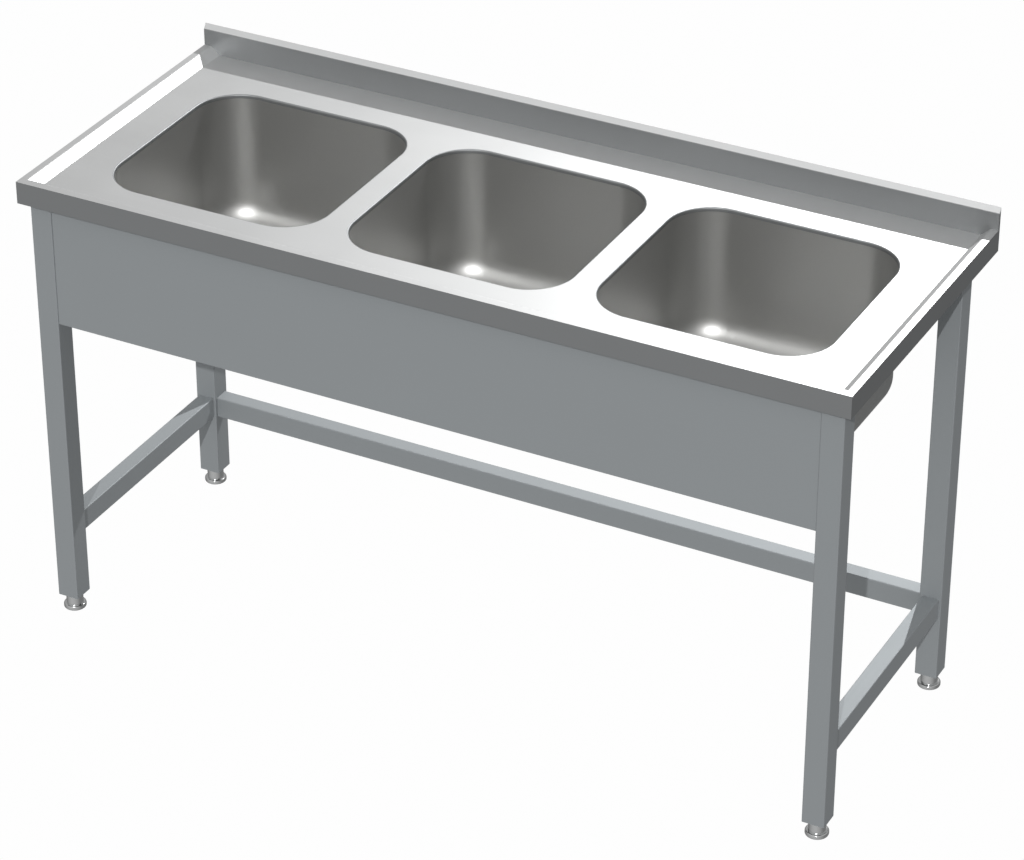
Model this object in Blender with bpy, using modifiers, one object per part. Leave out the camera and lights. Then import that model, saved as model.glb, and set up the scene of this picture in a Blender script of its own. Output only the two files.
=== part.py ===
"""Three compartment sink: a welded stainless table with three pressed bowls.

Metres, +Z up. The origin is on the floor, in the middle of the footprint. The sink's
front faces -Y, its splash stands against a wall on the +Y side, and its length runs
along X. Each object is one real piece, and each moving piece has its origin on its
joint's axis.
"""

import math

import bmesh
import bpy

# Overall size
LENGTH = 1.500
DEPTH = 0.600
TOP_Z = 0.850
GAP = 0.0003

# Worktop, one folded sheet
SHEET = 0.0012
SKIRT_HEIGHT = 0.040
RIM_SIDE = 0.0135
RIM_FRONT = 0.016
SLOPE_RUN = 0.016
PAN_DROP = 0.015
SPLASH_DEPTH = 0.006
SPLASH_FACE_HEIGHT = 0.030
SPLASH_HEIGHT = 0.040

# Bowls
BOWL_NAMES = ("left", "middle", "right")
BOWL_PITCH = 0.450
BOWL_SIZE = 0.400
BOWL_Y = -0.0145
BOWL_DEPTH = 0.250
BOWL_CORNER = 0.080
BOWL_FILLET = 0.048
BOWL_FLANGE = 0.008
BOWL_SHEET = 0.001
CORNER_STEPS = 7
FILLET_STEPS = 5
LIP_RADIUS = 0.004
LIP_STEPS = 3
COLLAR_DEPTH = 0.003

# Frame of square and flat tube
LEG_SIZE = 0.040
LEG_BOTTOM = 0.030
LEG_OUTSET_X = 0.015
LEG_OUTSET_FRONT = 0.015
LEG_OUTSET_REAR = 0.070
TUBE_WIDTH = 0.030
TUBE_HEIGHT = 0.040
TUBE_WALL = 0.0015
TUBE_RADIUS = 0.002
TUBE_RADIUS_STEPS = 2
STRETCHER_TOP = 0.190
APRON_BOTTOM = 0.585
APRON_SETBACK = 0.002
APRON_RETURN = 0.015
STIFFENER_WIDTH = 0.028
STIFFENER_HEIGHT = 0.025
STIFFENER_CLEARANCE = 0.002

# Adjustable feet
INSERT_HEIGHT = 0.036
STUD_RADIUS = 0.005
STUD_LENGTH = 0.034
FOOT_NECK_RADIUS = 0.015
FOOT_DISC_RADIUS = 0.020
FOOT_DISC_HEIGHT = 0.009
ROUND_STEPS = 24
FOOT_EDGE_STEPS = 2

# Basket drains, sizes from the bowl's floor
DRAIN_HOLE_RADIUS = 0.0440
DRAIN_FLANGE_RADIUS = 0.0560
DRAIN_FLANGE_HEIGHT = 0.0022
DRAIN_CUP_RADIUS = 0.0430
DRAIN_CUP_DEPTH = 0.048
DRAIN_WALL = 0.0015
CUP_SHOULDER = 0.012
CUP_TAPER = 0.008
CUP_CONE_DROP = 0.004
OUTLET_RADIUS = 0.0195
OUTLET_DEPTH = 0.074
GASKET_THICKNESS = 0.003
LOCK_NUT_RADIUS = 0.056
LOCK_NUT_HEIGHT = 0.009
LOCK_NUT_SIDES = 8
COUPLING_RADIUS = 0.028
COUPLING_HEIGHT = 0.020
COUPLING_GRIP = 0.012
COUPLING_SIDES = 6
TAIL_RADIUS = 0.0175
TAIL_LENGTH = 0.045
CHAMFER_RUN = 0.003

# Lift-out baskets, heights from the bowl's floor
BASKET_CLEARANCE = 0.0015
BASKET_RIM_RADIUS = 0.0432
BASKET_RIM_Z = 0.0029
BASKET_WALL = 0.0008
BASKET_DEPTH = 0.034
BASKET_DISH_DEPTH = 0.027
BASKET_DISH_INSET = 0.004
BASKET_FLOOR_INSET = 0.010
BASKET_HOLES = 10
BASKET_HOLE_RADIUS = 0.0032
BASKET_HOLE_RING = 0.0228
BASKET_HOLE_STEPS = 8
KNOB_RADIUS = 0.009
KNOB_HEIGHT = 0.014
KNOB_EDGE = 0.0025
KNOB_FOOT_RADIUS = 0.0055
KNOB_WAIST_RADIUS = 0.004
KNOB_WAIST_HEIGHT = 0.0055

# How the shapes are built
SMOOTH_ANGLE = 35
WELD = 0.00001
FACING = 0.9

# Places that follow from the sizes
FRONT_Y = -DEPTH / 2
REAR_Y = DEPTH / 2
SPLASH_Y = REAR_Y - SPLASH_DEPTH
PAN_Z = TOP_Z - PAN_DROP
SKIRT_Z = TOP_Z - SKIRT_HEIGHT
FRAME_TOP = PAN_Z - SHEET - GAP
BOWL_FLOOR_Z = PAN_Z - BOWL_DEPTH
BOWL_TOP_Z = PAN_Z - LIP_RADIUS - COLLAR_DEPTH - GAP
LEG_X = LENGTH / 2 - LEG_OUTSET_X - LEG_SIZE / 2
LEG_FRONT_Y = FRONT_Y + LEG_OUTSET_FRONT + LEG_SIZE / 2
LEG_REAR_Y = REAR_Y - LEG_OUTSET_REAR - LEG_SIZE / 2

# Finishes: base colour, metallic, roughness
FINISHES = {
    "brushed_steel": ((0.56, 0.57, 0.57), 1.0, 0.34),
    "satin_steel": ((0.50, 0.51, 0.50), 1.0, 0.28),
    "polished_steel": ((0.70, 0.71, 0.71), 1.0, 0.15),
    "grey_plastic": ((0.12, 0.12, 0.12), 0.0, 0.50),
    "black_rubber": ((0.03, 0.03, 0.03), 0.0, 0.70),
}


def clear_scene():
    for item in list(bpy.data.objects):
        bpy.data.objects.remove(item, do_unlink=True)


def make_collection(name):
    collection = bpy.data.collections.new(name)
    bpy.context.scene.collection.children.link(collection)
    return collection


def finish_material(node, finish):
    color, metallic, roughness = FINISHES[finish]
    material = bpy.data.materials.new(f"{node}_{finish}")
    material.use_nodes = True
    shader = material.node_tree.nodes["Principled BSDF"]
    shader.inputs["Base Color"].default_value = (*color, 1.0)
    shader.inputs["Metallic"].default_value = metallic
    shader.inputs["Roughness"].default_value = roughness
    return material


def add_node(name, bm, finish, location=(0, 0, 0), smooth=False):
    """Makes a named object of a finished bmesh."""
    mesh = bpy.data.meshes.new(name)
    bmesh.ops.recalc_face_normals(bm, faces=bm.faces)
    bm.to_mesh(mesh)
    bm.free()
    if smooth:
        mesh.shade_smooth()
        mesh.set_sharp_from_angle(angle=math.radians(SMOOTH_ANGLE))
    item = bpy.data.objects.new(name, mesh)
    item.location = location
    item.data.materials.append(finish_material(name, finish))
    PARTS.objects.link(item)
    return item


def add_cutter(name, bm, location=(0, 0, 0)):
    """Makes a guide object that only cuts others."""
    mesh = bpy.data.meshes.new(name)
    bmesh.ops.recalc_face_normals(bm, faces=bm.faces)
    bm.to_mesh(mesh)
    bm.free()
    item = bpy.data.objects.new(name, mesh)
    item.location = location
    item.hide_render = True
    item.display_type = "WIRE"
    CUTTERS.objects.link(item)
    return item


def thicken(item, thickness, offset):
    """Gives a sheet its thickness: offset 1 grows along the normals, -1 against them."""
    solidify = item.modifiers.new("Sheet", "SOLIDIFY")
    solidify.thickness = thickness
    solidify.offset = offset
    solidify.use_even_offset = True


def cut(item, cutter):
    boolean = item.modifiers.new("Cut", "BOOLEAN")
    boolean.operation = "DIFFERENCE"
    boolean.object = cutter


def rounded_ring(bm, center, half_size, corner, z):
    """Adds a closed ring in the shape of a square with round corners, and returns its edges."""
    reach = half_size - corner
    verts = []
    for quarter in range(4):
        middle = math.radians(45 + 90 * quarter)
        corner_x = center[0] + math.copysign(reach, math.cos(middle))
        corner_y = center[1] + math.copysign(reach, math.sin(middle))
        for step in range(CORNER_STEPS + 1):
            angle = math.radians(90 * (quarter + step / CORNER_STEPS))
            x = corner_x + corner * math.cos(angle)
            y = corner_y + corner * math.sin(angle)
            verts.append(bm.verts.new((x, y, z)))
    return close_ring(bm, verts)


def round_ring(bm, center, radius, z, steps=ROUND_STEPS):
    verts = []
    for step in range(steps):
        angle = 2 * math.pi * step / steps
        x = center[0] + radius * math.cos(angle)
        y = center[1] + radius * math.sin(angle)
        verts.append(bm.verts.new((x, y, z)))
    return close_ring(bm, verts)


def close_ring(bm, verts):
    pairs = zip(verts, verts[1:] + verts[:1])
    return [bm.edges.new(pair) for pair in pairs]


def skin(bm, rings):
    """Joins each ring to the next with a band of faces."""
    for upper, lower in zip(rings, rings[1:]):
        bmesh.ops.bridge_loops(bm, edges=upper + lower)


def box(size, center=(0, 0, 0)):
    bm = bmesh.new()
    bmesh.ops.create_cube(bm, size=1.0)
    bmesh.ops.scale(bm, vec=size, verts=bm.verts)
    bmesh.ops.translate(bm, vec=center, verts=bm.verts)
    return bm


def edges_along(bm, axis):
    """The straight edges that run along one axis, 0 for X, 1 for Y and 2 for Z."""
    found = []
    for edge in bm.edges:
        run = edge.verts[0].co - edge.verts[1].co
        if abs(abs(run[axis]) - run.length) < GAP:
            found.append(edge)
    return found


def tube(name, size, center, axis):
    """A rectangular tube along one axis, open at both ends, with round outer corners."""
    bm = box(size)
    ends = [face for face in bm.faces if abs(face.normal[axis]) > FACING]
    bmesh.ops.delete(bm, geom=ends, context="FACES_ONLY")
    bmesh.ops.bevel(bm, geom=edges_along(bm, axis), offset=TUBE_RADIUS,
                    segments=TUBE_RADIUS_STEPS, profile=0.5, affect="EDGES")
    item = add_node(name, bm, "brushed_steel", center)
    thicken(item, TUBE_WALL, -1)
    return item


def bowl_center(index):
    return ((index - 1) * BOWL_PITCH, BOWL_Y)


# Worktop


def build_worktop():
    """Rim, slope, pan, skirts and splash in one sheet, with a rolled collar round each bowl."""
    half = LENGTH / 2
    inner = half - RIM_SIDE
    stations_x = (-half, -inner, -inner + SLOPE_RUN, inner - SLOPE_RUN, inner, half)
    stations_y = (FRONT_Y, FRONT_Y + RIM_FRONT, FRONT_Y + RIM_FRONT + SLOPE_RUN, SPLASH_Y)
    bm = bmesh.new()
    grid = []
    for row, y in enumerate(stations_y):
        line = []
        for column, x in enumerate(stations_x):
            in_pan = row > 1 and column in (2, 3)
            line.append(bm.verts.new((x, y, PAN_Z if in_pan else TOP_Z)))
        grid.append(line)
    for row in range(3):
        for column in range(5):
            corners = (grid[row][column], grid[row][column + 1],
                       grid[row + 1][column + 1], grid[row + 1][column])
            if (row, column) == (2, 2):
                pan_edges = close_ring_of(bm, corners)
            elif (row, column) == (1, 1):
                bm.faces.new((corners[0], corners[1], corners[2]))
                bm.faces.new((corners[0], corners[2], corners[3]))
            elif (row, column) == (1, 3):
                bm.faces.new((corners[0], corners[1], corners[3]))
                bm.faces.new((corners[1], corners[2], corners[3]))
            else:
                bm.faces.new(corners)
    collars = []
    for index in range(len(BOWL_NAMES)):
        collars.append(collar_rings(bm, bowl_center(index)))
    rims = [edge for rings in collars for edge in rings[0]]
    bmesh.ops.triangle_fill(bm, edges=pan_edges + rims, use_beauty=True)
    for rings in collars:
        skin(bm, rings)
    fold_skirts_and_splash(bm, grid)
    item = add_node("worktop", bm, "brushed_steel")
    thicken(item, SHEET, -1)
    return item


def close_ring_of(bm, verts):
    edges = []
    for pair in zip(verts, verts[1:] + verts[:1]):
        edges.append(bm.edges.get(pair) or bm.edges.new(pair))
    return edges


def collar_rings(bm, center):
    """The rolled lip of a bowl's opening, from the pan down to the bowl's wall."""
    rings = []
    for step in range(LIP_STEPS + 1):
        angle = math.radians(90 * step / LIP_STEPS)
        out = LIP_RADIUS * (1 - math.sin(angle))
        z = PAN_Z - LIP_RADIUS * (1 - math.cos(angle))
        rings.append(rounded_ring(bm, center, BOWL_SIZE / 2 + out, BOWL_CORNER + out, z))
    end_z = PAN_Z - LIP_RADIUS - COLLAR_DEPTH
    rings.append(rounded_ring(bm, center, BOWL_SIZE / 2, BOWL_CORNER, end_z))
    return rings


def fold_skirts_and_splash(bm, grid):
    """Folds the front and the sides down, and the rear up, back and down again."""
    front = grid[0]
    rear = grid[-1]
    left = [line[0] for line in grid]
    right = [line[-1] for line in grid]
    low_front = [bm.verts.new((vert.co.x, vert.co.y, SKIRT_Z)) for vert in front]
    low_left = [low_front[0]] + [bm.verts.new((vert.co.x, vert.co.y, SKIRT_Z)) for vert in left[1:]]
    low_right = [low_front[-1]] + [bm.verts.new((vert.co.x, vert.co.y, SKIRT_Z)) for vert in right[1:]]
    levels = [rear]
    for y, z in ((SPLASH_Y, TOP_Z + SPLASH_FACE_HEIGHT), (REAR_Y, TOP_Z + SPLASH_HEIGHT),
                 (REAR_Y, SKIRT_Z)):
        levels.append([bm.verts.new((vert.co.x, y, z)) for vert in rear])
    for upper, lower in ((front, low_front), (left, low_left), (right, low_right)):
        strip(bm, upper, lower)
    for upper, lower in zip(levels, levels[1:]):
        strip(bm, upper, lower)
    for end, low in ((0, low_left[-1]), (-1, low_right[-1])):
        bm.faces.new([low] + [level[end] for level in levels])


def strip(bm, upper, lower):
    for index in range(len(upper) - 1):
        bm.faces.new((upper[index], upper[index + 1], lower[index + 1], lower[index]))


# Bowls


def build_bowl(index):
    """A pressed bowl: flange, straight wall, round bottom edge, and a floor with its drain hole."""
    center = bowl_center(index)
    half = BOWL_SIZE / 2
    bm = bmesh.new()
    rings = [rounded_ring(bm, center, half + BOWL_FLANGE, BOWL_CORNER + BOWL_FLANGE, BOWL_TOP_Z)]
    rings.append(rounded_ring(bm, center, half, BOWL_CORNER, BOWL_TOP_Z))
    for step in range(FILLET_STEPS + 1):
        angle = math.radians(90 * step / FILLET_STEPS)
        inset = BOWL_FILLET * (1 - math.cos(angle))
        z = BOWL_FLOOR_Z + BOWL_FILLET * (1 - math.sin(angle))
        rings.append(rounded_ring(bm, center, half - inset, BOWL_CORNER - inset, z))
    skin(bm, rings)
    hole = round_ring(bm, center, DRAIN_HOLE_RADIUS, BOWL_FLOOR_Z)
    bmesh.ops.triangle_fill(bm, edges=rings[-1] + hole, use_beauty=True)
    item = add_node(f"bowl_{BOWL_NAMES[index]}", bm, "satin_steel", smooth=True)
    thicken(item, BOWL_SHEET, -1)
    return item


# Frame


def build_legs():
    height = FRAME_TOP - LEG_BOTTOM
    for side, x in (("left", -LEG_X), ("right", LEG_X)):
        for end, y in (("front", LEG_FRONT_Y), ("rear", LEG_REAR_Y)):
            center = (x, y, LEG_BOTTOM + height / 2)
            tube(f"leg_{end}_{side}", (LEG_SIZE, LEG_SIZE, height), center, 2)


def build_cross_tubes():
    """Stretchers low on the sides and the rear, and rails above them under the worktop."""
    inside_x = 2 * LEG_X - LEG_SIZE - 2 * GAP
    inside_y = LEG_REAR_Y - LEG_FRONT_Y - LEG_SIZE - 2 * GAP
    middle_y = (LEG_REAR_Y + LEG_FRONT_Y) / 2
    for kind, top in (("stretcher", STRETCHER_TOP), ("rail", FRAME_TOP)):
        z = top - TUBE_HEIGHT / 2
        for side, x in (("left", -LEG_X), ("right", LEG_X)):
            tube(f"{kind}_{side}", (TUBE_WIDTH, inside_y, TUBE_HEIGHT), (x, middle_y, z), 1)
        tube(f"{kind}_rear", (inside_x, TUBE_WIDTH, TUBE_HEIGHT), (0, LEG_REAR_Y, z), 0)


def channel(name, size, center, thickness):
    """A sheet channel along X: size is its length, its depth along Y and its height along Z."""
    bm = box(size)
    unused = [face for face in bm.faces
              if face.normal.y > FACING or abs(face.normal.x) > FACING]
    bmesh.ops.delete(bm, geom=unused, context="FACES_ONLY")
    item = add_node(name, bm, "brushed_steel", center)
    thicken(item, thickness, -1)
    return item


def build_apron():
    length = 2 * LEG_X - LEG_SIZE - 2 * GAP
    height = FRAME_TOP - APRON_BOTTOM
    face_y = LEG_FRONT_Y - LEG_SIZE / 2 + APRON_SETBACK
    center = (0, face_y + APRON_RETURN / 2, APRON_BOTTOM + height / 2)
    channel("apron_front", (length, APRON_RETURN, height), center, SHEET)


def build_stiffeners():
    """Two channels under the pan between the bowls, their open side down."""
    front = FRONT_Y + LEG_OUTSET_FRONT + APRON_SETBACK + APRON_RETURN + STIFFENER_CLEARANCE
    rear = LEG_REAR_Y - TUBE_WIDTH / 2 - STIFFENER_CLEARANCE
    for side, x in (("left", -BOWL_PITCH / 2), ("right", BOWL_PITCH / 2)):
        size = (rear - front, STIFFENER_HEIGHT, STIFFENER_WIDTH)
        center = (x, (front + rear) / 2, FRAME_TOP - STIFFENER_HEIGHT / 2)
        item = channel(f"stiffener_{side}", size, center, TUBE_WALL)
        item.rotation_euler = (math.radians(-90), 0, math.radians(90))


# Feet


def turned(name, profile, finish, location, closed=False, steps=ROUND_STEPS):
    """Turns a profile of (radius, z) points round Z; a closed profile makes a ring."""
    bm = bmesh.new()
    verts = [bm.verts.new((radius, 0, z)) for radius, z in profile]
    for pair in zip(verts, verts[1:]):
        bm.edges.new(pair)
    if closed:
        bm.edges.new((verts[-1], verts[0]))
    item = add_node(name, bm, finish, location, smooth=True)
    screw = item.modifiers.new("Turn", "SCREW")
    screw.axis = "Z"
    screw.steps = steps
    screw.render_steps = steps
    screw.use_merge_vertices = True
    screw.merge_threshold = WELD
    screw.use_smooth_shade = True
    return item


def rounded_profile(center_r, center_z, radius, start, end):
    """Points on an arc of a profile, from one angle to another in degrees."""
    points = []
    for step in range(FOOT_EDGE_STEPS + 1):
        angle = math.radians(start + (end - start) * step / FOOT_EDGE_STEPS)
        points.append((center_r + radius * math.cos(angle), center_z + radius * math.sin(angle)))
    return points


def build_feet():
    """A threaded insert in each leg, and the foot that screws in and out of it."""
    neck_top = LEG_BOTTOM - GAP
    edge = FOOT_DISC_HEIGHT / 3
    profile = [(0, neck_top + STUD_LENGTH), (STUD_RADIUS, neck_top + STUD_LENGTH),
               (STUD_RADIUS, neck_top), (FOOT_NECK_RADIUS, neck_top),
               (FOOT_NECK_RADIUS, FOOT_DISC_HEIGHT)]
    arc_radius = FOOT_DISC_RADIUS - edge
    profile += rounded_profile(arc_radius, FOOT_DISC_HEIGHT - edge, edge, 90, 0)
    profile += rounded_profile(arc_radius, edge, edge, 0, -90)
    profile.append((0, 0))
    inside = LEG_SIZE - 2 * TUBE_WALL - 2 * GAP
    for side, x in (("left", -LEG_X), ("right", LEG_X)):
        for end, y in (("front", LEG_FRONT_Y), ("rear", LEG_REAR_Y)):
            turned(f"foot_{end}_{side}", profile, "polished_steel", (x, y, 0))
            middle = LEG_BOTTOM + INSERT_HEIGHT / 2
            bm = box((inside, inside, INSERT_HEIGHT))
            insert = add_node(f"foot_insert_{end}_{side}", bm, "grey_plastic", (x, y, middle))
            bore = bmesh.new()
            bmesh.ops.create_cone(bore, cap_ends=True, segments=ROUND_STEPS,
                                  radius1=STUD_RADIUS + GAP, radius2=STUD_RADIUS + GAP,
                                  depth=2 * INSERT_HEIGHT)
            cut(insert, add_cutter(f"bore_{end}_{side}", bore, (x, y, middle)))


# Drains


def ring_profile(inner, outer, top, bottom):
    return [(outer, top), (outer, bottom), (inner, bottom), (inner, top)]


def nut(name, sides, outer, bore_radius, top, height, finish, location):
    """A flat-sided nut with a round bore."""
    bm = bmesh.new()
    bmesh.ops.create_cone(bm, cap_ends=True, segments=sides, radius1=outer, radius2=outer,
                          depth=height)
    x, y, z = location
    place = (x, y, z + top - height / 2)
    item = add_node(name, bm, finish, place)
    bore = bmesh.new()
    bmesh.ops.create_cone(bore, cap_ends=True, segments=ROUND_STEPS, radius1=bore_radius,
                          radius2=bore_radius, depth=2 * height)
    cut(item, add_cutter(f"{name}_bore", bore, place))
    return item


def drain_body_profile():
    """The cup's section: flange on the bowl's floor, cup below it, threaded outlet at the bottom."""
    cup_inner = DRAIN_CUP_RADIUS - DRAIN_WALL
    cone_end = -DRAIN_CUP_DEPTH - CUP_CONE_DROP
    outlet_inner = OUTLET_RADIUS - DRAIN_WALL
    flange_top = GAP + DRAIN_FLANGE_HEIGHT
    shoulder = DRAIN_CUP_DEPTH - CUP_SHOULDER
    return [
        (DRAIN_FLANGE_RADIUS - DRAIN_FLANGE_HEIGHT, flange_top),
        (DRAIN_FLANGE_RADIUS, GAP + DRAIN_FLANGE_HEIGHT / 3), (DRAIN_FLANGE_RADIUS, GAP),
        (DRAIN_CUP_RADIUS, GAP), (DRAIN_CUP_RADIUS, -shoulder),
        (DRAIN_CUP_RADIUS - CUP_TAPER, -DRAIN_CUP_DEPTH), (OUTLET_RADIUS, cone_end),
        (OUTLET_RADIUS, -OUTLET_DEPTH), (outlet_inner, -OUTLET_DEPTH),
        (outlet_inner, cone_end + DRAIN_WALL), (cup_inner - CUP_TAPER, -DRAIN_CUP_DEPTH + DRAIN_WALL),
        (cup_inner, -shoulder + DRAIN_WALL / 2), (cup_inner, GAP),
        (cup_inner + CHAMFER_RUN, flange_top),
    ]


def basket_profile():
    """The lift-out basket's section: rim on the cup's chamfer, perforated dish and a knob."""
    outer = DRAIN_CUP_RADIUS - DRAIN_WALL - BASKET_CLEARANCE
    inner = outer - BASKET_WALL
    floor_radius = outer - BASKET_FLOOR_INSET
    knob_foot = -BASKET_DEPTH + BASKET_WALL
    knob_top = knob_foot + KNOB_HEIGHT
    return [
        (0, knob_top), (KNOB_RADIUS - KNOB_EDGE, knob_top), (KNOB_RADIUS, knob_top - KNOB_EDGE),
        (KNOB_WAIST_RADIUS, knob_foot + KNOB_WAIST_HEIGHT), (KNOB_FOOT_RADIUS, knob_foot),
        (floor_radius, knob_foot), (inner - BASKET_DISH_INSET, -BASKET_DISH_DEPTH), (inner, 0),
        (BASKET_RIM_RADIUS - BASKET_WALL, BASKET_RIM_Z), (BASKET_RIM_RADIUS, BASKET_RIM_Z),
        (BASKET_RIM_RADIUS, BASKET_RIM_Z - BASKET_WALL), (outer, -BASKET_WALL / 2),
        (outer - BASKET_DISH_INSET, -BASKET_DISH_DEPTH - BASKET_WALL),
        (floor_radius, -BASKET_DEPTH), (0, -BASKET_DEPTH),
    ]


def build_drain(index):
    side = BOWL_NAMES[index]
    x, y = bowl_center(index)
    seat = (x, y, BOWL_FLOOR_Z)
    turned(f"drain_body_{side}", drain_body_profile(), "polished_steel", seat, closed=True)
    gasket_top = -BOWL_SHEET - GAP
    gasket_bottom = gasket_top - GASKET_THICKNESS
    inner = DRAIN_CUP_RADIUS + GAP
    turned(f"drain_gasket_{side}", ring_profile(inner, DRAIN_FLANGE_RADIUS, gasket_top, gasket_bottom),
           "black_rubber", seat, closed=True)
    nut(f"drain_lock_nut_{side}", LOCK_NUT_SIDES, LOCK_NUT_RADIUS, inner + GAP, gasket_bottom - GAP,
        LOCK_NUT_HEIGHT, "grey_plastic", seat)
    coupling_top = -OUTLET_DEPTH + COUPLING_GRIP
    nut(f"drain_coupling_nut_{side}", COUPLING_SIDES, COUPLING_RADIUS, OUTLET_RADIUS + GAP,
        coupling_top, COUPLING_HEIGHT, "grey_plastic", seat)
    tail_top = -OUTLET_DEPTH - GAP
    tail_inner = TAIL_RADIUS - DRAIN_WALL
    tail = ring_profile(tail_inner, TAIL_RADIUS, tail_top, tail_top - TAIL_LENGTH)
    turned(f"drain_tail_{side}", tail, "grey_plastic", seat, closed=True)
    basket = turned(f"basket_{side}", basket_profile(), "polished_steel", seat)
    holes = bmesh.new()
    for step in range(BASKET_HOLES):
        angle = 2 * math.pi * step / BASKET_HOLES
        made = bmesh.ops.create_cone(holes, cap_ends=True, segments=BASKET_HOLE_STEPS,
                                     radius1=BASKET_HOLE_RADIUS, radius2=BASKET_HOLE_RADIUS,
                                     depth=BASKET_DEPTH / 2)
        shift = (BASKET_HOLE_RING * math.cos(angle), BASKET_HOLE_RING * math.sin(angle),
                 -BASKET_DEPTH)
        bmesh.ops.translate(holes, vec=shift, verts=made["verts"])
    cut(basket, add_cutter(f"basket_holes_{side}", holes, seat))


clear_scene()
PARTS = make_collection("three_compartment_sink")
CUTTERS = make_collection("cutters")
build_worktop()
for bowl in range(len(BOWL_NAMES)):
    build_bowl(bowl)
    build_drain(bowl)
build_legs()
build_cross_tubes()
build_apron()
build_stiffeners()
build_feet()
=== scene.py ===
import math

import bmesh
import bpy
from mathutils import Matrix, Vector


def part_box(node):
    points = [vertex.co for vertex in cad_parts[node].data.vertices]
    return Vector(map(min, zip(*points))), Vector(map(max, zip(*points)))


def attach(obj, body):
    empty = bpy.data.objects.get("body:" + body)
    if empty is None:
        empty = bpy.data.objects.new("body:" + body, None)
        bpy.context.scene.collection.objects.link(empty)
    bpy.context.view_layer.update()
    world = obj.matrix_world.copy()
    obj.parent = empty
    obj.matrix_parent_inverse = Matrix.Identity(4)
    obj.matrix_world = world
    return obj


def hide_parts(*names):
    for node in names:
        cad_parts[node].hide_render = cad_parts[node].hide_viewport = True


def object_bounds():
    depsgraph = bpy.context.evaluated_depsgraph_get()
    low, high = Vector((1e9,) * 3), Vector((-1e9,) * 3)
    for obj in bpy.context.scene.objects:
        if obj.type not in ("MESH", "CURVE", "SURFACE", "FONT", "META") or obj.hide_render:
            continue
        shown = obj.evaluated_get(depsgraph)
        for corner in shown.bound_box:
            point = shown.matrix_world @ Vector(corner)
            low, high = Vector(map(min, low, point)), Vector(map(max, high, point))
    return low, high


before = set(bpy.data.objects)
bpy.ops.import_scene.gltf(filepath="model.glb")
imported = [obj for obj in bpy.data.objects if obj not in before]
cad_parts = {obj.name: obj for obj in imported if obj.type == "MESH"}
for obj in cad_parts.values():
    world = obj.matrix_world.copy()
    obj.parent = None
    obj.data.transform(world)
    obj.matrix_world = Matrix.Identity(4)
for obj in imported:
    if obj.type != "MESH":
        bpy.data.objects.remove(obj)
CAD_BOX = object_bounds()

# Every length is in metres, in the frame's own axes: +X along the sink, +Y to the wall, +Z up.

# Worktop sheet
SHEET = 0.0012
SKIRT_HEIGHT = 0.040
RIM_SIDE = 0.0135
RIM_FRONT = 0.016
SLOPE_RUN = 0.016
PAN_DROP = 0.015
SPLASH_DEPTH = 0.006
SPLASH_FACE_HEIGHT = 0.030
SPLASH_HEIGHT = 0.040
OUTER_BEND = 0.0022
SLOPE_BEND = 0.0020
SPLASH_BEND = 0.0010
BEND_STEPS = 4
TIGHT_STEPS = 3
FOLD_ANGLE = 1.0
SLOPE_ANGLE = 0.2

# Bowls
BOWL_NAMES = ("left", "middle", "right")
BOWL_SIZE = 0.400
BOWL_CORNER = 0.080
BOWL_FILLET = 0.048
BOWL_FLANGE = 0.008
BOWL_SHEET = 0.001
FACING = 0.9
UPRIGHT = 0.5
LIP_RADIUS = 0.0025
COLLAR_BOTTOM = 0.007
PAN_BORDER = 0.0008
CORNER_STEPS = 18
FILLET_STEPS = 14
LIP_STEPS = 6
GAP = 0.0003

# Shading: angles in degrees up to which edges look smooth
SMOOTH_ANGLE = 32
WORKTOP_SMOOTH_ANGLE = 28
FOOT_SMOOTH_ANGLE = 40
FLAT_FACE_WEIGHT = 100

# Frame
TUBE_WALL = 0.0015
TUBE_RADIUS = 0.0020
FOLD_RADIUS = 0.0018

# Feet
FOOT_NECK_RADIUS = 0.015
FOOT_DISC_HEIGHT = 0.009
FOOT_EDGE = 0.0030
NECK_EDGE = 0.0008
STUD_RADIUS = 0.005
STUD_LENGTH = 0.034
THREAD_PITCH = 0.0015
THREAD_DEPTH = 0.0005
INSERT_EDGE = 0.0010
ROUND_STEPS = 64
ARC_STEPS = 6

# Basket drains, sizes from the bowl's floor
DRAIN_HOLE_RADIUS = 0.0440
DRAIN_FLANGE_RADIUS = 0.0560
DRAIN_FLANGE_HEIGHT = 0.0022
DRAIN_CUP_RADIUS = 0.0430
DRAIN_CUP_DEPTH = 0.048
DRAIN_WALL = 0.0015
CUP_SHOULDER = 0.012
CUP_TAPER = 0.008
CUP_CONE_DROP = 0.004
OUTLET_RADIUS = 0.0195
OUTLET_DEPTH = 0.074
TAIL_BORE_RADIUS = 0.0160
GASKET_EDGE = 0.0006
NUT_EDGE = 0.0012
LOCK_NUT_SIDES = 8
COUPLING_SIDES = 6
CHAMFER_RUN = 0.003

# Lift-out baskets, heights from the bowl's floor
BASKET_CLEARANCE = 0.0015
BASKET_RIM_RADIUS = 0.0432
BASKET_RIM_Z = 0.0029
BASKET_WALL = 0.0008
BASKET_DEPTH = 0.034
BASKET_DISH_DEPTH = 0.027
BASKET_DISH_INSET = 0.004
BASKET_FLOOR_INSET = 0.010
BASKET_HOLES = 10
BASKET_HOLE_RADIUS = 0.0032
BASKET_HOLE_RING = 0.0228
BASKET_HOLE_STEPS = 24
KNOB_RADIUS = 0.009
KNOB_HEIGHT = 0.014
KNOB_EDGE = 0.0025
KNOB_FOOT_RADIUS = 0.0055
KNOB_WAIST_RADIUS = 0.004
KNOB_WAIST_HEIGHT = 0.0055

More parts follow.
